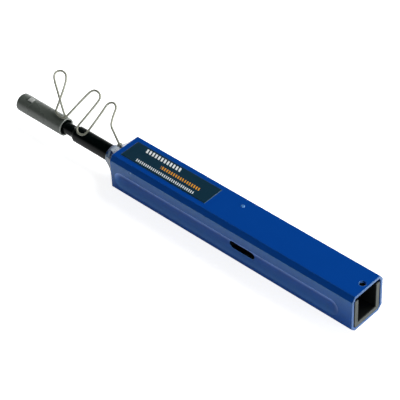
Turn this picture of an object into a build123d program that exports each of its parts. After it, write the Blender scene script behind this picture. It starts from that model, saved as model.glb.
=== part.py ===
from build123d import *
import math
import os

# A push-type cleaner for 2.5 mm fibre connectors, in millimetres.
# +X points to the cleaning tip, +Z is up and +Y is the side with the oblong slot.
# The origin is on the underside, at the centre of the straight housing.
# Distances called stations are measured along +X from the housing's open rear end.

# Housing
body_length = 125.2
body_width = 18.0
body_height = 17.8
wall = 1.15
top_chamfer_in = 1.6
top_chamfer_drop = 2.2
bottom_chamfer = 2.0
nose_length = 8.2
nose_collar_length = 0.8
nose_front_across = 8.3
nose_curve = 1.5
nose_sections = 4
nose_wall = 1.8
lap_thickness = 0.5
lap_depth = 1.0
lap_clearance = 0.05
edge_notch_front_margin = 11.6
edge_notch_length = 1.4
edge_notch_depth = 0.5
stop_rib_thickness = 1.2
stop_rib_opening = 10.4

# Finger scoops and slot in the sides
scoop_rear = 6.4
scoop_front_margin = 1.8
scoop_height = 8.0
scoop_depth = 0.6
scoop_level = 7.7
slot_station = 54.6
slot_length = 12.8
slot_height = 3.6

# Cover details
label_width = 10.2
label_front_margin = 2.6
label_pin_gap = 12.5
label_thickness = 0.25
label_recess = 0.1
strap_hole_station = 2.5
strap_hole_diameter = 2.8
spring_lug_station = 14.0
spring_lug_thickness = 2.0
spring_lug_width = 9.0
spring_spigot_length = 1.5

# Sliding core
nozzle_drop = 0.1
push_travel = 10.0
core_front_gap = 7.2
core_width = 14.4
core_wall = 1.8
core_floor = 1.8
core_roof_gap = 1.65
core_corner = 0.9
slide_clearance = 0.15
guide_rib_height = 1.0
guide_rib_rear = 16.0
guide_rib_front_margin = 10.0
guide_rib_low = 4.5
guide_rib_drop = 3.1
core_window_length = 13.6
core_window_height = 5.0
spring_wall_station = 34.0
cross_wall = 1.2
spring_wall_rise = 4.0

# Return spring
spring_wire = 0.6
spring_outside = 7.0
spring_turns = 7
spring_seat_gap = 0.05

# Reels and their axles
reel_spacing = 12.4
reel_flange_radius = 5.1
reel_flange = 0.8
reel_hub_radius = 2.2
reel_bottom_gap = 0.3
supply_winding_radius = 4.4
takeup_winding_radius = 3.4
axle_diameter = 2.0
axle_sink = 1.0
axle_head_diameter = 3.4
axle_head = 0.6
running_clearance = 0.05
brake_thickness = 0.2
thread_diameter = 0.35
thread_gap = 0.02

# Rack and pinion
gear_module = 0.5
pinion_teeth = 12
pinion_height = 2.6
pinion_roof_gap = 1.35
rack_addendum = 0.32
rack_dedendum = 0.62
backlash = 0.1
rack_depth = 3.25
rack_back = 5.1
rack_rear_spare = 3.2
rack_front_spare = 3.9
rack_tail_spare = 2.3
rack_tail_thickness = 1.1
rack_tail_inner = 1.9
rack_pin_spacing = 9.7
rack_pin_offset = 3.45
rack_pin_diameter = 1.5
rack_pin_proud = 0.12

# Cam that turns the cleaning head
cam_spacing = 21.4
cam_turn = 180.0
cam_pin_diameter = 1.4
cam_groove_width = 1.75
cam_groove_depth = 1.25
cam_groove_run_out = 1.0
cam_pin_gap = 0.15
cam_pin_sink = 0.8
rotor_diameter = 8.0
rotor_behind_cam = 3.8
rotor_length = 17.8
journal_diameter = 4.0
rear_journal = 2.0
yoke_thickness = 1.6
front_yoke_gap = 2.6
thread_guide_spacing = 7.9
thread_guide_diameter = 1.0
thread_entry_gap = 1.0
thread_spread = 0.4

# Bridge that closes the core over the rotor and the nozzle's flange
bridge_clearance = 0.3
bridge_thickness = 1.1
bridge_side_gap = 0.1
flange_block_length = 5.6

# Nozzle, shaft and cleaning head
nozzle_diameter = 7.2
nozzle_bore = 5.6
nozzle_tail = 8.0
nozzle_reach = 19.9
nozzle_taper = 2.1
flange_setback = 3.4
flange_thickness = 1.6
flange_diameter = 9.6
flange_gap = 0.05
barrel_diameter = 5.1
barrel_length = 23.2
barrel_bore_clearance = 0.08
bush_clearance = 0.1
shaft_diameter = 3.2
shaft_bore = 1.5
shaft_sink = 1.8
shaft_neck_length = 1.5
press_gap = 0.01
head_diameter = 2.4
head_length = 5.0
head_bar_diameter = 0.4

# Guide cap and its insert
cap_diameter = 8.0
cap_gap = 7.4
cap_mouth_bore = 6.8
cap_mouth_depth = 4.0
cap_bore_clearance = 0.08
cap_end_round = 0.8
insert_gap = 2.3
insert_length = 8.8
insert_clearance = 0.02
insert_chamber = 3.2
ferrule_bore = 2.54
ferrule_depth = 4.0
ferrule_lead_in = 0.35
window_setback = 7.6
window_length = 3.4
window_width = 2.4
nub_length = 2.2
nub_gap = 0.1
nub_proud = 0.45

# Tether, a stiff moulded strand that stands in waves beside the nozzle
strand_diameter = 0.9
strand_tilt = 30.0
strand_gap = 0.1
anchor_setback = 2.9
anchor_offset = -0.3
anchor_hole_diameter = 2.2
anchor_depth = 1.0
anchor_plug_depth = 0.5
anchor_neck_diameter = 1.2
anchor_bead_diameter = 2.2
anchor_bead_gap = 0.3
anchor_clearance = 0.1
turn_radius = 3.0
cap_hole_setback = 0.9
cap_hole_offset = 0.8

# Values worked out from the sizes above
rear_face = -body_length / 2
half_width = body_width / 2
side_top = body_height - top_chamfer_drop
roof = body_height - wall
inner_half = half_width - wall
core_half = core_width / 2
core_bottom = wall + slide_clearance
floor_top = core_bottom + core_floor
core_inner = core_half - core_wall
pitch_radius = gear_module * pinion_teeth / 2
nozzle_level = body_height / 2 - nozzle_drop
slot_level = body_height / 2
core_length = body_length - core_front_gap
core_top = roof - core_roof_gap
guide_rib_front = core_length - guide_rib_front_margin
guide_rib_levels = (guide_rib_low, side_top - guide_rib_drop)
spring_wall_top = nozzle_level + spring_wall_rise
edge_notch_station = body_length - edge_notch_front_margin
scoop_front = body_length - scoop_front_margin
takeup_station = slot_station
supply_station = takeup_station - reel_spacing
thread_guide_station = takeup_station + thread_guide_spacing
rack_pin_station = takeup_station + rack_pin_spacing
rack_tail_end = rack_pin_station + rack_tail_spare
rack_bottom = roof - rack_depth
label_length = body_length - label_front_margin - label_pin_gap - rack_pin_station
pinion_bottom = roof - pinion_roof_gap - pinion_height
reel_bottom = floor_top + reel_bottom_gap
reel_top = pinion_bottom - reel_bottom_gap
cam_station = takeup_station + cam_spacing
rotor_rear = cam_station - rotor_behind_cam
rotor_front = rotor_rear + rotor_length
rear_yoke = rotor_rear - rear_journal
front_yoke = rotor_front + front_yoke_gap
thread_entry = rear_yoke - thread_entry_gap
bridge_rear = rear_yoke
bridge_bottom = nozzle_level + rotor_diameter / 2 + bridge_clearance
bridge_top = bridge_bottom + bridge_thickness
nozzle_rear = core_length - nozzle_tail
flange_station = core_length - flange_setback
nose_front = body_length + nose_length
taper_length = nose_length - nose_collar_length
nozzle_shoulder = nose_front + nozzle_reach
barrel_end = nozzle_shoulder + barrel_length
shaft_rear = rotor_rear + shaft_sink
shaft_nose = barrel_end + shaft_neck_length
cap_mouth = nozzle_shoulder + cap_gap
insert_rear = barrel_end + insert_gap
cap_end = insert_rear + insert_length
window_station = cap_end - window_setback
anchor_station = body_length + anchor_setback
cap_hole_station = cap_mouth + cap_hole_setback
barrel_radius = barrel_diameter / 2
cap_radius = cap_diameter / 2
strand_radius = strand_diameter / 2
supply_line = supply_winding_radius + thread_diameter / 2 + thread_gap
takeup_line = takeup_winding_radius + thread_diameter / 2 + thread_gap


def at(station):
    """The X of a station, which is a distance from the housing's rear end."""
    return rear_face + station


def block(start, end, y_low, y_high, z_low, z_high):
    """A box between two stations."""
    size = (end - start, y_high - y_low, z_high - z_low)
    centre = (at((start + end) / 2), (y_low + y_high) / 2, (z_low + z_high) / 2)
    return Pos(*centre) * Box(*size)


def bar(points, start, end):
    """A bar between two stations, whose section is an outline in Y and Z."""
    outline = make_face(Polyline(*points, close=True))
    return extrude(Plane.YZ.offset(at(start)) * outline, end - start)


def rod(start, end, radius, level=nozzle_level, offset=0.0):
    """A round rod along X between two stations."""
    return extrude(Plane.YZ.offset(at(start)) * Pos(offset, level) * Circle(radius), end - start)


def cone(start, end, start_radius, end_radius):
    """A round tapered rod along the nozzle's axis."""
    first = Plane.YZ.offset(at(start)) * Pos(0, nozzle_level) * Circle(start_radius)
    last = Plane.YZ.offset(at(end)) * Pos(0, nozzle_level) * Circle(end_radius)
    return loft([first, last])


def post(station, offset, low, high, radius):
    """A round post along Z."""
    return extrude(Plane.XY.offset(low) * Pos(at(station), offset) * Circle(radius), high - low)


def body_outline(inset=0.0):
    """The housing's chamfered outline in Y and Z, set in by a wall thickness."""
    slope = math.hypot(top_chamfer_in, top_chamfer_drop)
    top_shift = inset * (slope - top_chamfer_drop) / top_chamfer_in
    side_shift = inset * (slope - top_chamfer_in) / top_chamfer_drop
    bottom_shift = inset * (math.sqrt(2) - 1)
    side = half_width - inset
    top_half = half_width - top_chamfer_in - top_shift
    bottom_half = half_width - bottom_chamfer - bottom_shift
    right = [
        (bottom_half, inset),
        (side, bottom_chamfer + bottom_shift),
        (side, side_top - side_shift),
        (top_half, body_height - inset),
    ]
    left = [(-y, z) for y, z in reversed(right)]
    return right + left


def nose_outline(across):
    """The regular octagon at the front of the nose, in the same order as the body's outline."""
    flat = across * (math.sqrt(2) - 1) / 2
    out = across / 2
    right = [
        (flat, nozzle_level - out),
        (out, nozzle_level - flat),
        (out, nozzle_level + flat),
        (flat, nozzle_level + out),
    ]
    left = [(-y, z) for y, z in reversed(right)]
    return right + left


def section(points, station):
    """A flat outline placed at a station, for a loft."""
    return Plane.YZ.offset(at(station)) * make_face(Polyline(*points, close=True))


def scoop_cutter(side):
    """A long shallow finger scoop with round ends, on the +Y side for 1 and the other for -1."""
    half = scoop_height / 2
    ball = (half**2 + scoop_depth**2) / (2 * scoop_depth)
    centre = side * (half_width - scoop_depth + ball)
    rear = scoop_rear + half
    front = scoop_front - half
    cutter = rod(rear, front, ball, scoop_level, centre)
    for station in (rear, front):
        cutter += Pos(at(station), centre, scoop_level) * Sphere(ball)
    return cutter


def slot_cutter(length, height, level, station, y_low, y_high):
    """An oblong slot with round ends through a side wall."""
    outline = Pos(at(station), level) * SlotOverall(length, height)
    return extrude(Plane.XZ.offset(-y_high) * outline, y_high - y_low)


def nose_share(along):
    """How far the nose's section has changed to the octagon: fast at first, then slower."""
    return 1 - (1 - along) ** nose_curve


def nose_taper(inset):
    """The hollow-sided nose from the housing's section to the octagon, set in all round."""
    rear = body_outline(inset)
    front = nose_outline(nose_front_across - 2 * inset)
    sections = []
    for step in range(nose_sections):
        along = step / (nose_sections - 1)
        share = nose_share(along)
        points = []
        for (y, z), (end_y, end_z) in zip(rear, front):
            points.append((y + (end_y - y) * share, z + (end_z - z) * share))
        sections.append(section(points, body_length + taper_length * along))
    return loft(sections)


def make_housing_base():
    """The lower shell: floor, sides, stop rib and the tapered nose that guides the nozzle."""
    base = bar(body_outline(), 0, body_length)
    base -= bar(body_outline(wall), 0, body_length)
    base -= block(0, body_length, -half_width, half_width, side_top, body_height)
    lap_y = inner_half + lap_thickness + lap_clearance
    base -= block(0, body_length, -lap_y, lap_y, side_top - lap_depth - lap_clearance, side_top)
    rib_rear = core_length + slide_clearance
    rib_top = side_top - lap_depth - lap_clearance
    rib = bar(body_outline(wall), rib_rear, rib_rear + stop_rib_thickness)
    rib -= block(0, body_length, -half_width, half_width, rib_top, body_height)
    rib -= rod(0, body_length, stop_rib_opening / 2)
    base += rib
    shell = nose_taper(0) - nose_taper(nose_wall)
    guide = rod(body_length + nose_length / 2, nose_front, nozzle_diameter / 2 + nose_wall)
    base += shell + (guide & nose_taper(0))
    base += rod(nose_front - 2 * nose_collar_length, nose_front, nose_front_across / 2)
    base -= rod(body_length, nose_front, nozzle_diameter / 2 + bush_clearance)
    for side in (-1, 1):
        base -= scoop_cutter(side)
        notch_y = sorted((side * (half_width - wall), side * half_width))
        notch_end = edge_notch_station + edge_notch_length
        base -= block(edge_notch_station, notch_end, *notch_y, side_top - edge_notch_depth, side_top)
    base -= slot_cutter(slot_length, slot_height, slot_level, slot_station, 0, half_width)
    base -= post(cam_station, 0, wall - cam_pin_sink, wall, cam_pin_diameter / 2 + press_gap)
    return base - anchor_hole()


def make_housing_cover():
    """The upper shell: roof, sloped edges, the lap along each side and the spring's lug."""
    cover = bar(body_outline(), 0, body_length)
    cover -= bar(body_outline(wall), 0, body_length)
    cover -= block(0, body_length, -half_width, half_width, 0, side_top)
    for side in (-1, 1):
        lap_y = sorted((side * inner_half, side * (inner_half + lap_thickness)))
        cover += block(0, body_length, *lap_y, side_top - lap_depth, side_top + lap_clearance)
    lug_front = spring_lug_station + spring_lug_thickness
    lug_half = spring_lug_width / 2
    lug_low = floor_top + reel_bottom_gap
    cover += block(spring_lug_station, lug_front, -lug_half, lug_half, lug_low, roof)
    spigot = spring_outside / 2 - spring_wire - spring_seat_gap
    cover += rod(lug_front, lug_front + spring_spigot_length, spigot)
    label_front = body_length - label_front_margin
    label_half = label_width / 2
    label_rear = label_front - label_length
    recess_floor = body_height - label_recess
    cover -= block(label_rear, label_front, -label_half, label_half, recess_floor, body_height)
    cover -= post(strap_hole_station, 0, roof, body_height, strap_hole_diameter / 2)
    cover -= post(rack_pin_station, -rack_pin_offset, roof, body_height, rack_pin_diameter / 2 + press_gap)
    return cover


def make_label_plate():
    """The bare dark plate in its shallow recess on the cover."""
    front = body_length - label_front_margin
    half = label_width / 2
    low = body_height - label_recess
    return block(front - label_length, front, -half, half, low, low + label_thickness)


def rack_tooth(station, outward, root, tip):
    """One straight-sided rack tooth, as corner points in X and Y."""
    lean = math.tan(math.radians(20))
    half_pitch = math.pi * gear_module / 4 - backlash / 4
    root_half = half_pitch + lean * root
    tip_half = half_pitch - lean * tip
    line = -pitch_radius
    return [
        (at(station - root_half), line - root * outward),
        (at(station - tip_half), line + tip * outward),
        (at(station + tip_half), line + tip * outward),
        (at(station + root_half), line - root * outward),
    ]


def make_rack_strip():
    """The toothed strip under the roof, which turns the pinion as the core slides."""
    pitch = math.pi * gear_module
    first = takeup_station - push_travel - rack_rear_spare
    last = takeup_station + rack_front_spare
    strip = block(first, last, -rack_back, -pitch_radius - rack_dedendum, rack_bottom, roof)
    tooth_count = int((last - first) / pitch)
    ahead = int((last - takeup_station) / pitch)
    for index in range(tooth_count):
        station = takeup_station + (ahead - index) * pitch
        if station - pitch / 2 < first or station + pitch / 2 > last:
            continue
        face = make_face(Polyline(*rack_tooth(station, 1, rack_dedendum, rack_addendum), close=True))
        strip += extrude(Plane.XY.offset(rack_bottom) * face, roof - rack_bottom)
    tail_low = roof - rack_tail_thickness
    strip += block(last, rack_tail_end, -rack_back, -rack_tail_inner, tail_low, roof)
    return strip - post(rack_pin_station, -rack_pin_offset, tail_low, roof, rack_pin_diameter / 2 + press_gap)


def make_rack_pin():
    """The domed pin through the roof that holds the rack strip's tail."""
    low = roof - rack_tail_thickness
    radius = rack_pin_diameter / 2
    pin = post(rack_pin_station, -rack_pin_offset, low, body_height + rack_pin_proud, radius)
    return chamfer(pin.edges().group_by(Axis.Z)[-1], rack_pin_proud)


def make_cam_pin():
    """The dowel that stands up from the floor into the rotor's groove."""
    top = nozzle_level - rotor_diameter / 2 + cam_groove_depth - cam_pin_gap
    pin = post(cam_station, 0, wall - cam_pin_sink, top, cam_pin_diameter / 2)
    return chamfer(pin.edges().group_by(Axis.Z)[-1], cam_pin_gap)


def half_round_yoke(station, thickness, radius):
    """A cross wall of the core with a half-round seat at the nozzle's level."""
    seat = block(station, station + thickness, -core_inner, core_inner, floor_top, nozzle_level)
    return seat - rod(station, station + thickness, radius)


def make_core_tray():
    """The open channel that carries the reels, the rotor and the nozzle."""
    low = core_bottom
    outline = [
        (core_half - core_corner, low),
        (core_half, low + core_corner),
        (core_half, core_top),
        (core_inner, core_top),
        (core_inner, floor_top),
    ]
    outline += [(-y, z) for y, z in reversed(outline)]
    tray = bar(outline, 0, core_length)
    rib_half = core_half + wall_gap() - slide_clearance
    for level in guide_rib_levels:
        z_low = level - guide_rib_height / 2
        z_high = level + guide_rib_height / 2
        tray += block(guide_rib_rear, guide_rib_front, core_inner, rib_half, z_low, z_high)
        tray += block(guide_rib_rear, guide_rib_front, -rib_half, -core_inner, z_low, z_high)
    spring_wall = spring_wall_station
    tray += block(spring_wall, spring_wall + cross_wall, -core_inner, core_inner, floor_top, spring_wall_top)
    seat_radius = spring_outside / 2 - spring_wire - spring_seat_gap
    tray += rod(spring_wall - spring_spigot_length, spring_wall, seat_radius)
    tray += half_round_yoke(rear_yoke, yoke_thickness, journal_diameter / 2 + running_clearance)
    tray += half_round_yoke(front_yoke, yoke_thickness, shaft_diameter / 2 + running_clearance)
    block_rear = core_length - flange_block_length
    tray += half_round_yoke(block_rear, flange_block_length, nozzle_diameter / 2 + press_gap)
    groove_rear = flange_station - flange_gap
    groove_front = flange_station + flange_thickness + flange_gap
    tray -= rod(groove_rear, groove_front, flange_diameter / 2 + flange_gap)
    tray -= slot_cutter(core_window_length, core_window_height, slot_level, takeup_station, 0, half_width)
    slot_mid = cam_station + push_travel / 2
    slot_half = cam_pin_diameter / 2 + cam_pin_gap
    slot = Pos(at(slot_mid), 0) * SlotOverall(push_travel + 2 * slot_half + 2 * cam_pin_gap, 2 * slot_half)
    tray -= extrude(Plane.XY * slot, floor_top)
    for station in (supply_station, takeup_station):
        tray -= post(station, 0, floor_top - axle_sink, floor_top, axle_diameter / 2 + press_gap)
    guide_y = -supply_line + thread_diameter / 2 + thread_guide_diameter / 2
    guide_radius = thread_guide_diameter / 2 + press_gap
    return tray - post(thread_guide_station, guide_y, floor_top - axle_sink, floor_top, guide_radius)


def wall_gap():
    """The space between the core's side and the housing's inner wall."""
    return inner_half - core_half


def make_core_bridge():
    """The lid inside the core that holds the rotor's journals and the nozzle's flange down."""
    half = core_inner - bridge_side_gap
    bridge = block(bridge_rear, core_length, -half, half, bridge_bottom, bridge_top)
    for station, thickness, radius in (
        (rear_yoke, yoke_thickness, journal_diameter / 2 + running_clearance),
        (front_yoke, yoke_thickness, shaft_diameter / 2 + running_clearance),
        (core_length - flange_block_length, flange_block_length, nozzle_diameter / 2 + press_gap),
    ):
        leg = block(station, station + thickness, -half, half, nozzle_level, bridge_bottom)
        bridge += leg - rod(station, station + thickness, radius)
    groove_front = flange_station + flange_thickness + flange_gap
    return bridge - rod(flange_station - flange_gap, groove_front, flange_diameter / 2 + flange_gap)


def outer_rim(tube):
    """The outer circle at a tube's front end."""
    rims = tube.edges().filter_by(GeomType.CIRCLE).group_by(Axis.X)[-1]
    return rims.sort_by(SortBy.RADIUS)[-1]


def make_nozzle_tube():
    """The black nozzle: flange, guide tube, shoulder and slim barrel."""
    tube = rod(nozzle_rear, nozzle_shoulder, nozzle_diameter / 2)
    tube += rod(flange_station, flange_station + flange_thickness, flange_diameter / 2)
    tube += cone(nozzle_shoulder, nozzle_shoulder + nozzle_taper, nozzle_diameter / 2, barrel_radius)
    tube += rod(nozzle_shoulder + nozzle_taper, barrel_end, barrel_radius)
    tube -= rod(nozzle_rear, nozzle_shoulder - nozzle_taper, nozzle_bore / 2)
    tube -= rod(nozzle_rear, barrel_end, shaft_diameter / 2 + barrel_bore_clearance)
    return chamfer(outer_rim(tube), cap_bore_clearance * 4)


def make_return_spring():
    """The coil spring that pushes the core forward again."""
    start = spring_lug_station + spring_lug_thickness + spring_wire / 2 + spring_seat_gap
    length = spring_wall_station - spring_wire / 2 - spring_seat_gap - start
    radius = (spring_outside - spring_wire) / 2
    path = Helix(length / spring_turns, length, radius)
    path = Pos(at(start), 0, nozzle_level) * Rot(0, 90, 0) * path
    wire = Plane(origin=path @ 0, z_dir=path % 0) * Circle(spring_wire / 2)
    return sweep(wire, path=path, is_frenet=True)


def make_axle(station, top):
    """A steel axle pressed into the core's floor, with a head above its reel."""
    axle = post(station, 0, floor_top - axle_sink, top + axle_head, axle_diameter / 2)
    return axle + post(station, 0, top, top + axle_head, axle_head_diameter / 2)


def make_supply_axle():
    """The axle of the full reel."""
    return make_axle(supply_station, reel_top + running_clearance)


def make_takeup_axle():
    """The axle shared by the take-up reel and the pinion."""
    return make_axle(takeup_station, pinion_bottom + pinion_height + running_clearance)


def make_thread_guide():
    """The small post that turns the clean thread towards the rotor."""
    offset = -supply_line + thread_diameter / 2 + thread_guide_diameter / 2
    return post(thread_guide_station, offset, floor_top - axle_sink, reel_top, thread_guide_diameter / 2)


def make_brake_washer():
    """The thin washer under the supply reel that keeps the thread from running on."""
    low = floor_top + running_clearance
    ring = post(supply_station, 0, low, low + brake_thickness, reel_flange_radius - reel_flange)
    return ring - post(supply_station, 0, low, low + brake_thickness, axle_diameter / 2 + running_clearance)


def make_bobbin(station):
    """A reel with two flanges, open for its axle."""
    bobbin = post(station, 0, reel_bottom, reel_bottom + reel_flange, reel_flange_radius)
    bobbin += post(station, 0, reel_top - reel_flange, reel_top, reel_flange_radius)
    bobbin += post(station, 0, reel_bottom, reel_top, reel_hub_radius)
    return bobbin - post(station, 0, reel_bottom, reel_top, axle_diameter / 2 + running_clearance)


def make_supply_bobbin():
    """The reel that holds the clean thread."""
    return make_bobbin(supply_station)


def make_takeup_bobbin():
    """The reel that gathers the used thread, with the dog that the pinion drives."""
    bobbin = make_bobbin(takeup_station)
    dog_top = pinion_bottom - running_clearance
    dog = post(takeup_station, 0, reel_top, dog_top, reel_hub_radius)
    return bobbin + dog - post(takeup_station, 0, reel_top, dog_top, axle_diameter / 2 + running_clearance)


def make_winding(station, radius):
    """The turns of thread on a reel, as one solid ring."""
    low = reel_bottom + reel_flange
    high = reel_top - reel_flange
    return post(station, 0, low, high, radius) - post(station, 0, low, high, reel_hub_radius)


def make_supply_thread():
    """The full winding."""
    return make_winding(supply_station, supply_winding_radius)


def make_takeup_thread():
    """The used winding."""
    return make_winding(takeup_station, takeup_winding_radius)


def involute(base_radius, radius):
    """The angle that an involute has turned through where it reaches a radius."""
    pressure = math.acos(base_radius / radius)
    return math.tan(pressure) - pressure


def make_drive_pinion():
    """The small involute gear that the rack strip turns."""
    pressure = math.radians(20)
    base_radius = pitch_radius * math.cos(pressure)
    tip_radius = pitch_radius + gear_module
    root_radius = pitch_radius - 1.2 * gear_module
    pitch_angle = 2 * math.pi / pinion_teeth
    half_tooth = pitch_angle / 4 - backlash / 4 / pitch_radius
    at_pitch = involute(base_radius, pitch_radius)
    radii = [base_radius + (tip_radius - base_radius) * step / 3 for step in range(4)]
    outline = []
    for tooth in range(pinion_teeth):
        middle = -math.pi / 2 + (tooth + 0.5) * pitch_angle
        base_half = half_tooth + at_pitch
        rising = [(root_radius, middle - base_half)]
        rising += [(r, middle - half_tooth - at_pitch + involute(base_radius, r)) for r in radii]
        falling = [(r, 2 * middle - angle) for r, angle in reversed(rising)]
        outline += rising + falling
    points = [(r * math.cos(angle), r * math.sin(angle)) for r, angle in outline]
    face = make_face(Polyline(*points, close=True))
    face -= Circle(axle_diameter / 2 + running_clearance)
    return extrude(Plane.XY.offset(pinion_bottom) * Pos(at(takeup_station), 0) * face, pinion_height)


def make_cam_rotor():
    """The drum whose half-turn groove changes the push into a turn of the head."""
    rotor = rod(rotor_rear, rotor_front, rotor_diameter / 2)
    rotor += rod(rear_yoke, rotor_rear, journal_diameter / 2)
    rotor -= rod(rear_yoke, shaft_rear, shaft_bore / 2)
    rotor -= rod(shaft_rear, rotor_front, shaft_diameter / 2 + press_gap)
    core_radius = rotor_diameter / 2 - cam_groove_depth
    lead = push_travel * 360 / cam_turn
    mean = rotor_diameter / 2 - cam_groove_depth / 2
    run = push_travel + 2 * cam_groove_run_out
    path = Helix(lead, run, mean, lefthand=True)
    first_turn = cam_groove_run_out * cam_turn / push_travel
    path = Rot(first_turn, 0, 0) * Rot(0, 90, 0) * path
    path = Pos(at(cam_station - cam_groove_run_out), 0, nozzle_level) * path
    start = path @ 0
    radial = Vector(0, start.Y, start.Z - nozzle_level).normalized()
    cutter = Plane(origin=start, x_dir=radial, z_dir=path % 0)
    cutter *= Rectangle(2 * cam_groove_depth, cam_groove_width)
    groove = sweep(cutter, path=path, is_frenet=True)
    groove -= rod(cam_station - push_travel, cam_station + 2 * push_travel, core_radius)
    return rotor - groove


def make_head_shaft():
    """The hollow shaft that carries the thread and the cleaning head through the nozzle."""
    shaft = rod(shaft_rear, barrel_end - running_clearance, shaft_diameter / 2)
    shaft += rod(barrel_end - running_clearance, shaft_nose, head_neck_radius())
    return shaft - rod(shaft_rear, shaft_nose, shaft_bore / 2)


def head_neck_radius():
    """The spigot on the shaft that the cleaning head is pressed over."""
    return (shaft_bore + head_diameter) / 4


def make_cleaning_head():
    """The slim end that enters a 2.5 mm sleeve, with the bar that the thread runs over."""
    start = barrel_end
    end = barrel_end + head_length
    head = rod(start, end, head_diameter / 2)
    head -= rod(start, shaft_nose, head_neck_radius() + press_gap)
    head -= rod(shaft_nose, end, shaft_bore / 2)
    bar_level = nozzle_level - shaft_bore / 2 - head_bar_diameter / 2
    bar_top = nozzle_level + shaft_bore / 2 + head_bar_diameter / 2
    head += post(end - head_bar_diameter / 2, 0, bar_level, bar_top, head_bar_diameter / 2)
    return chamfer(outer_rim(head), head_bar_diameter / 2)


def strand(points, radii, diameter):
    """A round strand along straight runs joined by tangent arcs."""
    path = FilletPolyline(*points, radius=radii)
    start = Plane(origin=path @ 0, z_dir=path % 0)
    return sweep(start * Circle(diameter / 2), path=path)


def make_thread_feed():
    """Clean thread from the supply reel round the guide to the rotor."""
    line = -supply_line
    points = [
        (at(supply_station), line, nozzle_level),
        (at(thread_guide_station), line, nozzle_level),
        (at(thread_entry), -thread_spread, nozzle_level),
    ]
    radius = (thread_guide_diameter + thread_diameter) / 2
    return strand(points, [radius], thread_diameter)


def make_thread_return():
    """Used thread from the rotor back to the take-up reel."""
    start = (thread_entry, thread_spread)
    run = thread_entry - takeup_station
    away = math.hypot(run, thread_spread)
    touch = math.atan2(thread_spread, run) + math.acos(takeup_line / away)
    end = (takeup_station + takeup_line * math.cos(touch), takeup_line * math.sin(touch))
    path = Line((at(start[0]), start[1], nozzle_level), (at(end[0]), end[1], nozzle_level))
    return sweep(Plane(origin=path @ 0, z_dir=path % 0) * Circle(thread_diameter / 2), path=path)


def make_tip_thread():
    """The thread inside the hollow shaft, turned over the bar at the tip."""
    bar_x = barrel_end + head_length - head_bar_diameter / 2
    out = Line((at(rear_yoke), thread_spread, nozzle_level), (at(bar_x), thread_spread, nozzle_level))
    turn = ThreePointArc(
        (at(bar_x), thread_spread, nozzle_level),
        (at(bar_x) + thread_spread, 0, nozzle_level),
        (at(bar_x), -thread_spread, nozzle_level),
    )
    back = Line((at(bar_x), -thread_spread, nozzle_level), (at(rear_yoke), -thread_spread, nozzle_level))
    path = Wire([out.edge(), turn.edge(), back.edge()])
    return sweep(Plane(origin=path @ 0, z_dir=path % 0) * Circle(thread_diameter / 2), path=path)


def make_guide_cap():
    """The grey cap that slides over the barrel and guides a loose connector."""
    cap = rod(cap_mouth, cap_end, cap_radius)
    cap = fillet(cap.edges().group_by(Axis.X)[-1], cap_end_round)
    cap -= rod(cap_mouth, cap_mouth + cap_mouth_depth, cap_mouth_bore / 2)
    cap -= rod(cap_mouth, cap_end, barrel_radius + cap_bore_clearance)
    half = window_width / 2
    window_end = window_station + window_length
    cap -= block(window_station, window_end, -half, half, nozzle_level, nozzle_level + cap_diameter)
    hole_angle = math.asin(cap_hole_offset / cap_radius)
    hole = Pos(at(cap_hole_station), 0, nozzle_level) * Rot(math.degrees(hole_angle), 0, 0)
    return cap - hole * Pos(0, 0, cap_radius) * Cylinder(strand_radius + running_clearance, cap_diameter / 2)


def make_cap_insert():
    """The pale insert with the bore for a 2.5 mm ferrule and the nub that snaps in the window."""
    radius = barrel_radius + cap_bore_clearance - insert_clearance
    insert = rod(insert_rear, cap_end, radius)
    insert -= rod(insert_rear, cap_end - ferrule_depth, insert_chamber / 2)
    insert -= rod(insert_rear, cap_end, ferrule_bore / 2)
    insert -= cone(cap_end - ferrule_lead_in, cap_end, ferrule_bore / 2, ferrule_bore / 2 + ferrule_lead_in)
    half = window_width / 2 - nub_gap
    nub_start = window_station + nub_gap
    nub = rod(nub_start, nub_start + nub_length, cap_radius + nub_proud)
    nub &= block(nub_start, nub_start + nub_length, -half, half, nozzle_level, nozzle_level + cap_diameter)
    nub -= rod(nub_start, nub_start + nub_length, radius - insert_clearance)
    return insert + nub


def anchor_frame():
    """The place and direction of the tether's anchor on the nose's upper facet."""
    drop = body_height - nozzle_level - nose_front_across / 2
    along = anchor_setback / taper_length
    level = body_height - drop * nose_share(along)
    slope = drop * nose_curve * (1 - along) ** (nose_curve - 1)
    normal = Vector(slope, 0, taper_length).normalized()
    return Plane(origin=(at(anchor_station), anchor_offset, level), z_dir=normal)


def anchor_hole():
    """The cutter for the anchor's hole, which also clears the hollow facet above it."""
    depth = anchor_depth + anchor_clearance
    return extrude(anchor_frame().offset(depth) * Circle(anchor_hole_diameter / 2), -2 * depth)


def tether_point(along, out, lift):
    """A point of the strand: along from the nose, out in the tilted plane, and lifted off it."""
    tilt = math.radians(strand_tilt)
    reach = cap_radius + strand_radius + strand_gap + lift
    y = reach * math.sin(tilt) - out * math.cos(tilt)
    z = nozzle_level + reach * math.cos(tilt) + out * math.sin(tilt)
    return (at(nose_front + along), y, z)


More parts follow.
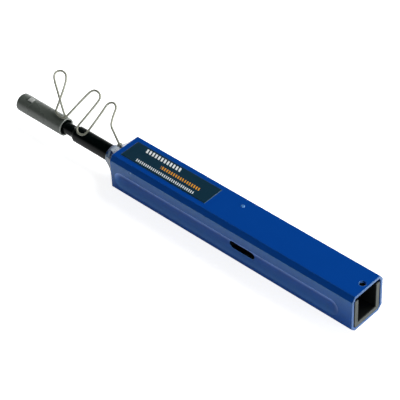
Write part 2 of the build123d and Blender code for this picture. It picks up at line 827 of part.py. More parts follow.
# The strand's corners between the nose and the cap: along, out and lift
TETHER_CORNERS = [
    (6.0, 9.4, 0.0),
    (9.4, 18.2, 0.0),
    (12.8, 17.9, 0.0),
    (13.4, 15.9, 0.0),
    (13.4, 1.9, 0.0),
    (14.4, -0.3, 0.0),
    (17.3, -0.4, 0.0),
    (19.2, 1.2, 0.0),
    (17.9, 16.8, 0.0),
    (20.3, 19.1, 0.0),
    (24.2, 18.6, 0.0),
    (26.8, 3.6, 0.0),
    (27.6, 1.9, 0.0),
    (33.0, 2.1, 0.0),
    (36.3, 11.2, -0.4),
    (39.5, 18.0, -0.7),
    (42.9, 19.7, -0.6),
    (45.3, 17.9, 0.0),
    (44.3, 15.1, 0.6),
    (37.7, 10.4, 1.0),
    (27.9, 3.5, 0.9),
]


def corner_radii(points):
    """Arcs as large as the strand's turns, or as large as two short runs allow."""
    radii = []
    for before, corner, after in zip(points, points[1:], points[2:]):
        first = Vector(*corner) - Vector(*before)
        second = Vector(*after) - Vector(*corner)
        half_turn = math.radians(first.get_angle(second)) / 2
        shorter = min(first.length, second.length)
        radii.append(min(turn_radius, 0.45 * shorter / math.tan(half_turn)))
    return radii


def make_cap_tether():
    """The strand from the bead on the nose to its hole in the cap."""
    frame = anchor_frame()
    bead_radius = anchor_bead_diameter / 2
    bead_centre = frame.origin + frame.z_dir * (bead_radius + anchor_bead_gap)
    hole_angle = math.asin(cap_hole_offset / cap_radius)
    ends = []
    for reach in (cap_radius + strand_radius * 2, cap_mouth_bore / 2 + running_clearance):
        y = -reach * math.sin(hole_angle)
        z = nozzle_level + reach * math.cos(hole_angle)
        ends.append((at(cap_hole_station), y, z))
    points = [tuple(bead_centre)] + [tether_point(*corner) for corner in TETHER_CORNERS] + ends
    tether = strand(points, corner_radii(points), strand_diameter)
    tether += Pos(*bead_centre) * Sphere(bead_radius)
    neck = Circle(anchor_neck_diameter / 2)
    tether += extrude(frame.offset(bead_radius) * neck, -bead_radius - anchor_depth)
    plug_radius = anchor_hole_diameter / 2 - anchor_clearance
    plug = extrude(frame.offset(-anchor_plug_depth) * Circle(plug_radius), anchor_plug_depth - anchor_depth)
    return tether + plug


def main():
    """Builds every piece and writes one file for each."""
    pieces = {
        "housing_base": make_housing_base(),
        "housing_cover": make_housing_cover(),
        "label_plate": make_label_plate(),
        "rack_strip": make_rack_strip(),
        "rack_pin": make_rack_pin(),
        "cam_pin": make_cam_pin(),
        "cap_tether": make_cap_tether(),
        "core_tray": make_core_tray(),
        "core_bridge": make_core_bridge(),
        "nozzle_tube": make_nozzle_tube(),
        "return_spring": make_return_spring(),
        "supply_axle": make_supply_axle(),
        "takeup_axle": make_takeup_axle(),
        "thread_guide": make_thread_guide(),
        "brake_washer": make_brake_washer(),
        "thread_feed": make_thread_feed(),
        "thread_return": make_thread_return(),
        "supply_bobbin": make_supply_bobbin(),
        "supply_thread": make_supply_thread(),
        "takeup_bobbin": make_takeup_bobbin(),
        "takeup_thread": make_takeup_thread(),
        "drive_pinion": make_drive_pinion(),
        "cam_rotor": make_cam_rotor(),
        "head_shaft": make_head_shaft(),
        "cleaning_head": make_cleaning_head(),
        "tip_thread": make_tip_thread(),
        "guide_cap": make_guide_cap(),
        "cap_insert": make_cap_insert(),
    }
    for name, piece in pieces.items():
        export_step(piece, f"parts/{name}.step")
        print(name, round(piece.volume, 2))


os.makedirs("parts", exist_ok=True)
main()
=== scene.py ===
# %% [markdown]
# This scene dresses a push-type cleaner for fibre connectors. The real one is a blue plastic housing
# round a grey core that slides, with a black nozzle and a grey cap on a thin wavy tether. Its form
# comes from a CAD model, which is loaded first and stays exactly where it is. Blender adds what CAD
# leaves out: the finish of each plastic, the printed label, the smooth tether and the light.

# %% Load the CAD model
import bpy
import math
from mathutils import Matrix, Vector


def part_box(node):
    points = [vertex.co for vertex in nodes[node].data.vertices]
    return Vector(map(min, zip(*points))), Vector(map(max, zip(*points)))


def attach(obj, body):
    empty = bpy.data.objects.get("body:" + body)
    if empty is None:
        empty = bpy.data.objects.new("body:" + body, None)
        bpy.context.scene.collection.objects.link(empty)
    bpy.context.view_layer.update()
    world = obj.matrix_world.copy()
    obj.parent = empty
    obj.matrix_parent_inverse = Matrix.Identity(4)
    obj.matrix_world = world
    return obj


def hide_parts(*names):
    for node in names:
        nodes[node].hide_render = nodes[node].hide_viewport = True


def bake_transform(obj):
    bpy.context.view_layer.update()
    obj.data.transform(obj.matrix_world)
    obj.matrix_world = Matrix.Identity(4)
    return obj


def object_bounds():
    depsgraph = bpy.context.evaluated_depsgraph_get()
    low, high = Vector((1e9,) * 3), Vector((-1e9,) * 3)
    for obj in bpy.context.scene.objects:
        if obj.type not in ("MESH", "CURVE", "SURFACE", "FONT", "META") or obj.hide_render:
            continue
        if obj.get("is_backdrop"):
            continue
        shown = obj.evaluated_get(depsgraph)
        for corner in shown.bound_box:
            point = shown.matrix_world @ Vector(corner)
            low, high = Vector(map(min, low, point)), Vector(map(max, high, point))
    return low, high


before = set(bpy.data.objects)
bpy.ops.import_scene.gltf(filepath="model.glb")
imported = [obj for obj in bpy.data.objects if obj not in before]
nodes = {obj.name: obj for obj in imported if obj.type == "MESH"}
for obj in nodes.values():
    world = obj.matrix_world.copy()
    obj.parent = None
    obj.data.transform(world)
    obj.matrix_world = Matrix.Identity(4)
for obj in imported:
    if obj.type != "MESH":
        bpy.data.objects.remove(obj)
cad_low, cad_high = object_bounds()
MM = 0.001
print("CAD nodes:", len(nodes), "box in mm:", [round(v / MM, 1) for v in (*cad_low, *cad_high)])

# %% [markdown]
# Places on the tool are easiest to give as stations, millimetres from the housing's open rear end.
# They could be written in the CAD's own X, but then every one of them would move when the housing
# gets longer. So the rear end and the nozzle's height are measured on the CAD pieces instead.

# %% Stations
rear_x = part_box("housing_cover")[0].x
nozzle_low, nozzle_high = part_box("nozzle_tube")
axis_z = (nozzle_low.z + nozzle_high.z) / 2


def place(station, across, height):
    """A point in metres from a station, a distance across and a height, all in millimetres."""
    return Vector((rear_x + station * MM, across * MM, height * MM))


print("rear end at X", round(rear_x, 4), "nozzle's middle at Z", round(axis_z, 4))

# %% [markdown]
# The camera stands behind the tool on its slot side and looks down at about 42 degrees. It could be
# aimed by a constraint, but a small roll and a small shift are needed too. So its three directions
# are worked out from an azimuth, an elevation and the roll, and set as one matrix.

# %% Camera directions
azimuth, elevation, roll = math.radians(224.58), math.radians(41.68), math.radians(-2.9)
back = Vector((
    math.sin(azimuth) * math.cos(elevation),
    -math.cos(azimuth) * math.cos(elevation),
    math.sin(elevation),
))
level_right = Vector((0, 0, 1)).cross(back).normalized()
level_up = back.cross(level_right)
right = level_right * math.cos(roll) + level_up * math.sin(roll)
up = level_up * math.cos(roll) - level_right * math.sin(roll)
print("camera looks along", [round(-v, 3) for v in back])

# %% [markdown]
# The tool's far end looks almost as large as its near end. A short lens close by would make the rear
# end far too big, so the camera stands well back and has a long lens.

# %% Camera
def put_in_scene(name, data):
    """Puts a mesh, a curve, a lamp or a camera in the scene as an object."""
    made = bpy.data.objects.new(name, data)
    bpy.context.scene.collection.objects.link(made)
    return made


looked_at = place(95, 0, 9.5)
camera_distance = 686.5
shift_right, shift_down = 7.88, 2.90
camera_data = bpy.data.cameras.new("studio_camera")
camera_data.lens = 154.7
camera_data.sensor_width = 36.0
camera_data.clip_start = 0.01
camera = put_in_scene("studio_camera", camera_data)
spot = looked_at + (back * camera_distance + right * shift_right - up * shift_down) * MM
camera.matrix_world = Matrix.Translation(spot) @ Matrix((right, up, back)).transposed().to_4x4()
bpy.context.scene.camera = camera
print("camera at", [round(v, 3) for v in spot])

# %% [markdown]
# Materials are built from nodes. The nodes could be placed by hand in the shader editor, but a
# script can be read and run again. These helpers keep each material short: one adds a node with its
# settings, one links two sockets, and one feeds an input with either an output or a plain value.

# %% Node helpers
def add(tree, kind, **values):
    """Adds a node; values name its properties, or its inputs where a property has no such name."""
    node = tree.nodes.new(kind)
    for key, value in values.items():
        if hasattr(node, key):
            setattr(node, key, value)
        else:
            node.inputs[key.replace("_", " ")].default_value = value
    return node


def join(tree, output, target):
    """Links an output socket to an input socket, in place of any earlier link to it."""
    tree.links.new(output, target)


def feed(tree, value, target):
    """Gives an input its value: a link if the value is an output socket, or else a plain value."""
    if hasattr(value, "is_linked"):
        join(tree, value, target)
    else:
        target.default_value = value


print("node helpers ready")

# %% [markdown]
# A look that several finishes share is built once, as a node group with named inputs and outputs.
# Copies of its nodes in every material would drift apart. These helpers start a material, start a
# group, and place a group in a material.

# %% Material and group helpers
def start_material(name, **values):
    """A new material with its Principled shader, whose plain inputs are given by name."""
    material = bpy.data.materials.new(name + "_finish")
    material.use_nodes = True
    shader = material.node_tree.nodes["Principled BSDF"]
    for key, value in values.items():
        shader.inputs[key.replace("_", " ")].default_value = value
    return material, material.node_tree, shader


def start_group(name, inputs, outputs):
    """A new node group; inputs and outputs map socket names to kinds and starting values."""
    group = bpy.data.node_groups.new(name, "ShaderNodeTree")
    for label, (kind, value) in inputs.items():
        made = group.interface.new_socket(label, in_out="INPUT", socket_type="NodeSocket" + kind)
        made.default_value = value
    for label, kind in outputs.items():
        group.interface.new_socket(label, in_out="OUTPUT", socket_type="NodeSocket" + kind)
    return group, add(group, "NodeGroupInput").outputs, add(group, "NodeGroupOutput").inputs


def use_group(tree, group, **values):
    """Places a shared group in a material with its own values."""
    node = tree.nodes.new("ShaderNodeGroup")
    node.node_tree = group
    for key, value in values.items():
        node.inputs[key.replace("_", " ")].default_value = value
    return node


print("material helpers ready")

# %% [markdown]
# Most masks are sums on the place of a point on the part. They could be painted by hand, but plain
# number nodes stay exact at any size. These helpers write such sums in one line each.

# %% Number helpers
def maths(tree, operation, *values):
    """A Math node whose inputs are sockets or numbers; gives its output socket."""
    node = add(tree, "ShaderNodeMath", operation=operation)
    for slot, value in enumerate(values):
        feed(tree, value, node.inputs[slot])
    return node.outputs[0]


def vector_maths(tree, operation, *values):
    """A Vector Math node; gives its vector output, or its number for a dot product."""
    node = add(tree, "ShaderNodeVectorMath", operation=operation)
    for slot, value in enumerate(values):
        feed(tree, value, node.inputs[slot])
    return node.outputs["Value" if operation == "DOT_PRODUCT" else "Vector"]


def ramp(tree, value, start, end, low=0.0, high=1.0):
    """Goes evenly from low to high while the value goes from start to end."""
    node = add(tree, "ShaderNodeMapRange")
    for label, given_value in (
        ("Value", value), ("From Min", start), ("From Max", end), ("To Min", low), ("To Max", high),
    ):
        feed(tree, given_value, node.inputs[label])
    return node.outputs["Result"]


def axes_of(tree, vector):
    """Splits a vector output into its X, Y and Z outputs."""
    split = add(tree, "ShaderNodeSeparateXYZ")
    join(tree, vector, split.inputs[0])
    return split.outputs


def spot_on_part(tree):
    """The place on the part, in metres, as a vector output."""
    return add(tree, "ShaderNodeTexCoord").outputs["Object"]


print("number helpers ready")

# %% [markdown]
# Rubbed edges, print and dirt all lie over a base colour. Each could be a second shader mixed in,
# but the gloss hardly changes under them, so it is enough to lay one colour over another.

# %% Laying one colour over another
MIX_UNDER, MIX_OVER, MIXED = 6, 7, 2


def opaque(colour):
    """A colour of three numbers with a full fourth one, as sockets want it."""
    return (*colour, 1.0)


def lay_over(tree, mask, under, over):
    """Lays one colour over another where the mask is; gives the new colour socket."""
    mix = add(tree, "ShaderNodeMix", data_type="RGBA")
    join(tree, mask, mix.inputs["Factor"])
    feed(tree, under, mix.inputs[MIX_UNDER])
    feed(tree, over, mix.inputs[MIX_OVER])
    return mix.outputs[MIXED]


print("colours can be laid over each other")

# %% [markdown]
# Moulded plastic is never perfectly even. Its colour and gloss drift a little from place to place,
# and its skin has a faint ripple from the mould. It could be painted on, but a shared group that
# works from the place on the part, in real metres, has no seams and suits every piece.

# %% Group: moulded skin, its colour and gloss
moulded_skin, given, gives = start_group(
    "moulded skin",
    {
        "Colour": ("Color", (0.5, 0.5, 0.5, 1.0)),
        "Mottle": ("Float", 0.06),
        "Gloss": ("Float", 0.3),
        "Gloss change": ("Float", 0.08),
        "Ripple size": ("Float", 900.0),
        "Ripple depth": ("Float", 0.15),
        "Corner": ("Float", 0.2 * MM),
    },
    {"Colour": "Color", "Roughness": "Float", "Normal": "Vector", "Edge": "Float"},
)
spot_here = spot_on_part(moulded_skin)
cloud = add(moulded_skin, "ShaderNodeTexNoise", Scale=110.0, Detail=3.0)
join(moulded_skin, spot_here, cloud.inputs["Vector"])
swing = maths(moulded_skin, "SUBTRACT", cloud.outputs["Fac"], 0.5)
lift = maths(moulded_skin, "MULTIPLY_ADD", swing, given["Mottle"], 1.0)
tint = add(moulded_skin, "ShaderNodeVectorMath", operation="SCALE")
join(moulded_skin, given["Colour"], tint.inputs[0])
join(moulded_skin, lift, tint.inputs["Scale"])
join(moulded_skin, tint.outputs["Vector"], gives["Colour"])
rough = maths(moulded_skin, "MULTIPLY_ADD", swing, given["Gloss change"], given["Gloss"])
join(moulded_skin, rough, gives["Roughness"])
print("group:", moulded_skin.name, "with", len(moulded_skin.nodes), "nodes so far")

# %% [markdown]
# A mould's corners are slightly round, and hands rub them first. Real rounding would need many
# faces, so the Bevel node only bends the shading there. Where it bends away from the true face, the
# group gives an edge mask.

# %% Group: moulded skin, its ripple and corners
ripple = add(moulded_skin, "ShaderNodeTexNoise", Detail=2.0)
join(moulded_skin, spot_here, ripple.inputs["Vector"])
join(moulded_skin, given["Ripple size"], ripple.inputs["Scale"])
corner = add(moulded_skin, "ShaderNodeBevel", samples=6)
join(moulded_skin, given["Corner"], corner.inputs["Radius"])
bump = add(moulded_skin, "ShaderNodeBump", Distance=0.02 * MM)
join(moulded_skin, ripple.outputs["Fac"], bump.inputs["Height"])
join(moulded_skin, given["Ripple depth"], bump.inputs["Strength"])
join(moulded_skin, corner.outputs["Normal"], bump.inputs["Normal"])
join(moulded_skin, bump.outputs["Normal"], gives["Normal"])
true_face = add(moulded_skin, "ShaderNodeNewGeometry").outputs["Normal"]
agreement = vector_maths(moulded_skin, "DOT_PRODUCT", true_face, corner.outputs["Normal"])
join(moulded_skin, ramp(moulded_skin, agreement, 0.97, 0.84), gives["Edge"])
print("group:", moulded_skin.name, "with", len(moulded_skin.nodes), "nodes")

# %% [markdown]
# Open ends that catch the light are painted paler than the rest, as a painted highlight. They could be
# cut off as pieces of their own, but the real ends are one with the part. This group gives a mask for
# one end instead: full at the end's own X, and gone a short way in along the part.

# %% Group: painted light at one end
painted_light_end, given, gives = start_group(
    "painted light end",
    {"End": ("Float", 0.0), "Fades at": ("Float", MM)},
    {"Mask": "Float"},
)
along_part = axes_of(painted_light_end, spot_on_part(painted_light_end))["X"]
faded = ramp(painted_light_end, along_part, given["End"], given["Fades at"], 1.0, 0.0)
join(painted_light_end, faded, gives["Mask"])
print("group:", painted_light_end.name)

# %% [markdown]
# The walls inside a hole or a slot get little light, so they are painted dark as painted shade. They
# could be picked face by face, but those numbers change with every new CAD model. This group finds them
# by place: inside a box round the opening, and deeper than its rim.

# %% Group: recess
recess, given, gives = start_group(
    "recess",
    {
        "Centre": ("Vector", (0.0, 0.0, 0.0)),
        "Half size": ("Vector", (MM, MM, MM)),
        "Outward": ("Vector", (0.0, 0.0, 1.0)),
        "Depth": ("Float", 0.05 * MM),
    },
    {"Mask": "Float"},
)
offset = vector_maths(recess, "SUBTRACT", spot_on_part(recess), given["Centre"])
past = vector_maths(recess, "SUBTRACT", vector_maths(recess, "ABSOLUTE", offset), given["Half size"])
past_x, past_y, past_z = axes_of(recess, past)
widest = maths(recess, "MAXIMUM", maths(recess, "MAXIMUM", past_x, past_y), past_z)
in_box = maths(recess, "LESS_THAN", widest, 0.0)
rise = vector_maths(recess, "DOT_PRODUCT", offset, given["Outward"])
under_rim = maths(recess, "LESS_THAN", maths(recess, "ADD", rise, given["Depth"]), 0.0)
join(recess, maths(recess, "MULTIPLY", in_box, under_rim), gives["Mask"])
print("group:", recess.name)

# %% [markdown]
# Every plastic here is the same kind of material: a colour, a paler colour at the corners, and a gloss.
# The paler corners are wear, and on the housing and the pin they are also a painted highlight. Each
# could be built node by node, but one function with its own values does for all.

# %% Moulded plastic
def moulded(
    name, colour, wear_and_glint, wear_and_glint_share, gloss,
    change=0.08, size=900.0, depth=0.15, round_by=0.2, **plain,
):
    """A moulded plastic, its corners rounded by so many mm; also gives its colour socket."""
    material, tree, shader = start_material(name, **plain)
    skin = use_group(
        tree, moulded_skin, Colour=opaque(colour), Gloss=gloss, Gloss_change=change,
        Ripple_size=size, Ripple_depth=depth, Corner=round_by * MM,
    )
    edge = maths(tree, "MULTIPLY", skin.outputs["Edge"], wear_and_glint_share)
    edged = lay_over(tree, edge, skin.outputs["Colour"], opaque(wear_and_glint))
    join(tree, edged, shader.inputs["Base Color"])
    join(tree, skin.outputs["Roughness"], shader.inputs["Roughness"])
    join(tree, skin.outputs["Normal"], shader.inputs["Normal"])
    return material, tree, shader, edged


def paint_end_highlight(tree, under, end, fades_at, colour):
    """Paints one end of a part paler, as a painted highlight; gives the new colour socket."""
    end_band = use_group(tree, painted_light_end, End=end, Fades_at=fades_at)
    return lay_over(tree, end_band.outputs["Mask"], under, opaque(colour))


print("plastics can be made")

# %% [markdown]
# The housing is glossy blue plastic. Its long edges are paler, partly from wear by handling and partly
# as a painted highlight, and its open rear rim is painted paler still, as a painted highlight. A white
# shine would be the usual choice, but it greys the sides. The shine is tinted blue instead, as on the
# real plastic, whose colour goes right through.

# %% Housing blue: plastic and rear rim
housing_blue, tree, shader, colour = moulded(
    "housing_blue", (0.0014, 0.054, 0.31), (0.08, 0.22, 0.45), 0.8, 0.14, depth=0.03, round_by=0.3,
    IOR=1.5, Specular_IOR_Level=0.58, Specular_Tint=(0.25, 0.8, 1.0, 1.0),
)
rim_width = 0.2 * MM
# Painted highlight on the open rear rim.
colour = paint_end_highlight(tree, colour, rear_x, rear_x + rim_width, (0.04, 0.08, 0.2))
print("material:", housing_blue.name)

# %% [markdown]
# The nose is painted darker as painted shade, and its faces that look up or sideways are painted pale
# as a painted reflection. A painted mask could show that. Here it follows from where a face is and how
# it is turned: the nose begins at a station, and faces that look up or sideways get the painted
# reflection.

# %% Housing blue: nose
nose_begins, nose_full = 125.6 * MM, 127.2 * MM
nose = use_group(tree, painted_light_end, End=rear_x + nose_full, Fades_at=rear_x + nose_begins)
on_nose = nose.outputs["Mask"]
# Painted shade over the whole nose.
colour = lay_over(tree, maths(tree, "MULTIPLY", on_nose, 0.6), colour, opaque((0.0008, 0.02, 0.07)))
turned_to = axes_of(tree, add(tree, "ShaderNodeNewGeometry").outputs["Normal"])
looks_up = ramp(tree, turned_to["Z"], 0.72, 0.93, 0.0, 0.5)
looks_sideways = ramp(tree, turned_to["Y"], 0.8, 0.95, 0.0, 0.9)
nose_reflection = maths(tree, "MULTIPLY", on_nose, maths(tree, "MAXIMUM", looks_up, looks_sideways))
# Painted reflection on nose faces that look up or sideways.
colour = lay_over(tree, nose_reflection, colour, opaque((0.42, 0.44, 0.52)))
print("nose begins at station", round(nose_begins / MM, 1))

# %% [markdown]
# The oblong slot in the side and the tether's hole in the nose are openings whose walls are painted
# dark, as painted shade. A second, darker plastic would need its own faces, which a CAD solid hasn't.
# So both are found with the recess group, each with its own centre, half size in mm and outward
# direction.

# %% Housing blue: dark openings
outward = Vector((0, 1, 0))
slot_walls = use_group(
    tree, recess, Centre=place(54.6, 8.4, 8.9), Half_size=Vector((7.0, 4.0, 2.1)) * MM,
    Outward=outward,
)
knot_spot = place(128.1, -0.3, 15.25)
knot_up = Vector((0.608, 0.0, 0.794))
knot_walls = use_group(
    tree, recess, Centre=knot_spot, Half_size=Vector((1.5, 1.5, 1.5)) * MM, Outward=knot_up,
)
in_opening = maths(tree, "MAXIMUM", slot_walls.outputs["Mask"], knot_walls.outputs["Mask"])
# Painted shade on the walls of the slot and the tether hole.
colour = lay_over(tree, in_opening, colour, opaque((0.0004, 0.003, 0.012)))
print("openings darkened: slot and tether hole")

# %% [markdown]
# A small notch at the sloped edge is painted pale as a painted glint, and the upper lip of the near
# scoop is painted paler as a painted highlight. The edge mask can't find the lip, since it is hardly
# bent there. So it is taken as a thin band a little below the side's flat face, 9 mm out, that fades
# towards the bottom.

# %% Housing blue: notch and scoop lip
notch = use_group(
    tree, recess, Centre=place(114.1, 8.4, 15.35), Half_size=Vector((0.9, 0.8, 0.4)) * MM,
    Outward=outward, Depth=-0.6 * MM,
)
# Painted glint on the notch.
colour = lay_over(tree, notch.outputs["Mask"], colour, opaque((0.2, 0.34, 0.7)))
scoops = use_group(
    tree, recess, Centre=place(63.5, 0.0, 7.7), Half_size=Vector((60.5, 9.5, 4.2)) * MM,
    Depth=-20.0 * MM,
)
on_side = axes_of(tree, spot_on_part(tree))
lip = ramp(tree, on_side["Y"], 8.5 * MM, 8.82 * MM, 0.0, 0.9)
below_face = ramp(tree, on_side["Y"], 8.98 * MM, 8.995 * MM, 1.0, 0.0)
upper_part = ramp(tree, on_side["Z"], 6.5 * MM, 10.5 * MM, 0.1, 1.0)
for limit in (below_face, upper_part, scoops.outputs["Mask"]):
    lip = maths(tree, "MULTIPLY", lip, limit)
# Painted highlight along the near scoop's upper lip.
colour = lay_over(tree, lip, colour, opaque((0.18, 0.31, 0.74)))
join(tree, colour, shader.inputs["Base Color"])
# The pin is painted paler than the housing, with near-white edges, as a painted glint.
pin_blue = moulded("pin_blue", (0.06, 0.22, 0.55), (0.7, 0.85, 0.95), 1.0, 0.2)[0]
print("materials:", housing_blue.name, pin_blue.name)

# %% [markdown]
# The core is a dark grey tray with little gloss, kept near black so that it also paints the shade
# inside it, and its open end is painted pale as a painted highlight where it is seen. The nozzle is
# satin black. A rougher surface could keep them dark too, but it would blur the nozzle's soft
# highlight. So they only shine less than usual plastic.

# %% Core and nozzle
core_grey, tree, shader, colour = moulded(
    "core_grey", (0.004, 0.0048, 0.0044), (0.008, 0.009, 0.008), 0.6, 0.45, size=1500.0, depth=0.3,
    Specular_IOR_Level=0.15,
)
# Painted highlight on the core's open end; the near-black rest paints the shade inside.
colour = paint_end_highlight(tree, colour, rear_x + 0.1 * MM, rear_x + 0.6 * MM, (0.054, 0.06, 0.056))
join(tree, colour, shader.inputs["Base Color"])
nozzle_black = moulded(
    "nozzle_black", (0.001, 0.0028, 0.0028), (0.03, 0.035, 0.034), 0.5, 0.16, change=0.04, depth=0.05,
    Specular_IOR_Level=0.12,
)[0]
print("materials:", core_grey.name, nozzle_black.name)

# %% [markdown]
# The cap is a mid grey with a mouth painted pale as a painted highlight, and its insert is paler still.
# The small parts inside the tool could be given any colour. They are left in the plastic's natural
# white, as moulders do with parts that nobody sees.

# %% Cap, insert and inner parts
cap_grey, tree, shader, colour = moulded(
    "cap_grey", (0.106, 0.122, 0.107), (0.3, 0.32, 0.3), 0.7, 0.28, size=1500.0, depth=0.08,
    round_by=0.12,
)
cap_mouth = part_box("guide_cap")[0].x
# Painted highlight on the cap's mouth.
colour = paint_end_highlight(tree, colour, cap_mouth, cap_mouth + rim_width, (0.36, 0.39, 0.36))
join(tree, colour, shader.inputs["Base Color"])
insert_pale = moulded(
    "insert_pale", (0.45, 0.47, 0.45), (0.55, 0.57, 0.55), 0.4, 0.35, round_by=0.06,
)[0]
natural_white = moulded("natural_white", (0.72, 0.71, 0.66), (0.8, 0.8, 0.76), 0.3, 0.4)[0]
print("materials:", cap_grey.name, insert_pale.name, natural_white.name)

# %% [markdown]
# The label is a dark glossy plate with three rows of plain slanted bars. The bars could be thin
# solids, but ink has no thickness that shows. So a group draws one row of them as a mask, in
# millimetres along and across the label.

# %% Group: row of bars
bar_row, given, gives = start_group(
    "row of bars",
    {
        "Along": ("Float", 0.0),
        "Across": ("Float", 0.0),
        "Start": ("Float", 0.0),
        "End": ("Float", 10.0),
        "Centre": ("Float", 0.0),
        "Height": ("Float", 2.0),
        "Pitch": ("Float", 3.0),
        "Fill": ("Float", 0.7),
        "Lean": ("Float", 0.35),
    },
    {"Mask": "Float"},
)
off_centre = maths(bar_row, "SUBTRACT", given["Across"], given["Centre"])
leant = maths(bar_row, "MULTIPLY_ADD", off_centre, given["Lean"], given["Along"])
from_start = maths(bar_row, "SUBTRACT", leant, given["Start"])
started = maths(bar_row, "GREATER_THAN", from_start, 0.0)
not_ended = maths(bar_row, "LESS_THAN", leant, given["End"])
half_height = maths(bar_row, "MULTIPLY", given["Height"], 0.5)
in_height = maths(bar_row, "LESS_THAN", maths(bar_row, "ABSOLUTE", off_centre), half_height)
share = maths(bar_row, "FRACT", maths(bar_row, "DIVIDE", from_start, given["Pitch"]))
on_bar = maths(bar_row, "LESS_THAN", share, given["Fill"])
in_length = maths(bar_row, "MULTIPLY", started, not_ended)
on_bar = maths(bar_row, "MULTIPLY", in_height, on_bar)
join(bar_row, maths(bar_row, "MULTIPLY", in_length, on_bar), gives["Mask"])
print("group:", bar_row.name)

# %% [markdown]
# The label's material places three rows, two pale and one orange, in millimetres from the rear end and
# from the middle. Three materials on strips of the plate could do it, but the real rows are ink on one
# plate. Its rear edge catches the light, so it is painted a little paler, as a painted highlight.

# %% Label
label_teal, tree, shader, colour = moulded(
    "label_teal", (0.004, 0.029, 0.052), (0.02, 0.08, 0.12), 0.3, 0.22, depth=0.03,
)
label_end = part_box("label_plate")[0].x
# Painted highlight on the label's rear edge.
colour = paint_end_highlight(tree, colour, label_end, label_end + rim_width, (0.03, 0.08, 0.14))
label_rows = [
    ((0.78, 0.83, 0.84), dict(Start=97.2, End=116.0, Centre=-3.2, Height=2.1, Pitch=1.62, Fill=0.58)),
    ((0.75, 0.33, 0.03), dict(Start=83.7, End=104.6, Centre=0.5, Height=1.6, Pitch=1.22, Fill=0.52)),
    ((0.72, 0.78, 0.8), dict(Start=84.2, End=115.8, Centre=3.5, Height=1.4, Pitch=1.02, Fill=0.5)),
]
on_label = axes_of(tree, spot_on_part(tree))
along = maths(tree, "DIVIDE", maths(tree, "SUBTRACT", on_label["X"], rear_x), MM)
across = maths(tree, "DIVIDE", on_label["Y"], MM)
for ink, sizes in label_rows:
    row = use_group(tree, bar_row, **sizes)
    join(tree, along, row.inputs["Along"])
    join(tree, across, row.inputs["Across"])
    colour = lay_over(tree, row.outputs["Mask"], colour, opaque(ink))
join(tree, colour, shader.inputs["Base Color"])
print("label rows:", len(label_rows))

# %% [markdown]
# Steel pins and wire show fine drawing marks, and thread is many fine fibres laid side by side. Real
# fibres would be far too many faces, so both use one group: a close wave that bumps the surface and
# darkens the gaps.

# %% Group: fine lines
fine_lines, given, gives = start_group(
    "fine lines",
    {
        "Colour": ("Color", (0.8, 0.8, 0.8, 1.0)),
        "Gap colour": ("Color", (0.4, 0.4, 0.4, 1.0)),
        "Closeness": ("Float", 3000.0),
        "Waver": ("Float", 1.0),
        "Depth": ("Float", 0.4),
        "Gloss": ("Float", 0.5),
    },
    {"Colour": "Color", "Roughness": "Float", "Normal": "Vector"},
)
wave = add(fine_lines, "ShaderNodeTexWave", bands_direction="Z", Detail=2.0)
join(fine_lines, spot_on_part(fine_lines), wave.inputs["Vector"])
join(fine_lines, given["Closeness"], wave.inputs["Scale"])
join(fine_lines, given["Waver"], wave.inputs["Distortion"])
line = wave.outputs["Fac"]
join(fine_lines, lay_over(fine_lines, line, given["Gap colour"], given["Colour"]), gives["Colour"])
join(fine_lines, maths(fine_lines, "MULTIPLY_ADD", line, -0.1, given["Gloss"]), gives["Roughness"])
bump = add(fine_lines, "ShaderNodeBump", Distance=0.05 * MM)
join(fine_lines, line, bump.inputs["Height"])
join(fine_lines, given["Depth"], bump.inputs["Strength"])
join(fine_lines, bump.outputs["Normal"], gives["Normal"])
print("group:", fine_lines.name)

# %% [markdown]
# Three materials use those lines: bright steel with shallow marks, the clean white thread, and the
# used thread, which is greyed by what it has wiped off. A mask could soil one thread along its way,
# but the two runs are separate pieces here, so each has its own plain material.

# %% Steel and threads
def lined(name, colour, gap, closeness, depth, gloss, **plain):
    """A material with fine lines in it."""
    material, tree, shader = start_material(name, **plain)
    skin = use_group(
        tree, fine_lines, Colour=opaque(colour), Gap_colour=opaque(gap), Closeness=closeness,
        Depth=depth, Gloss=gloss,
    )
    for output, target in (("Colour", "Base Color"), ("Roughness", "Roughness"), ("Normal", "Normal")):
        join(tree, skin.outputs[output], shader.inputs[target])
    return material


steel = lined("steel", (0.62, 0.62, 0.6), (0.5, 0.5, 0.49), 2500.0, 0.1, 0.3, Metallic=1.0)
thread_white = lined("thread_white", (0.86, 0.86, 0.83), (0.5, 0.5, 0.47), 900.0, 0.8, 0.7)
thread_used = lined("thread_used", (0.5, 0.5, 0.48), (0.2, 0.2, 0.19), 900.0, 0.8, 0.7)
print("materials:", steel.name, thread_white.name, thread_used.name)

# %% [markdown]
# The tether is a slim strand of cloudy, nearly clear plastic. It could be made see-through, but it
# is so thin that it reads as a warm grey, and a plain grey plastic shows its waves better.

# %% Tether plastic
tether_clear = moulded(
    "tether_clear", (0.28, 0.29, 0.23), (0.5, 0.5, 0.45), 0.3, 0.3, size=2500.0, IOR=1.52,
)[0]
print("material:", tether_clear.name)

# %% [markdown]
# Every CAD node now gets its finish. The pieces could be modelled again here, but the CAD solids
# already have the right form and place, so only their material slot changes.

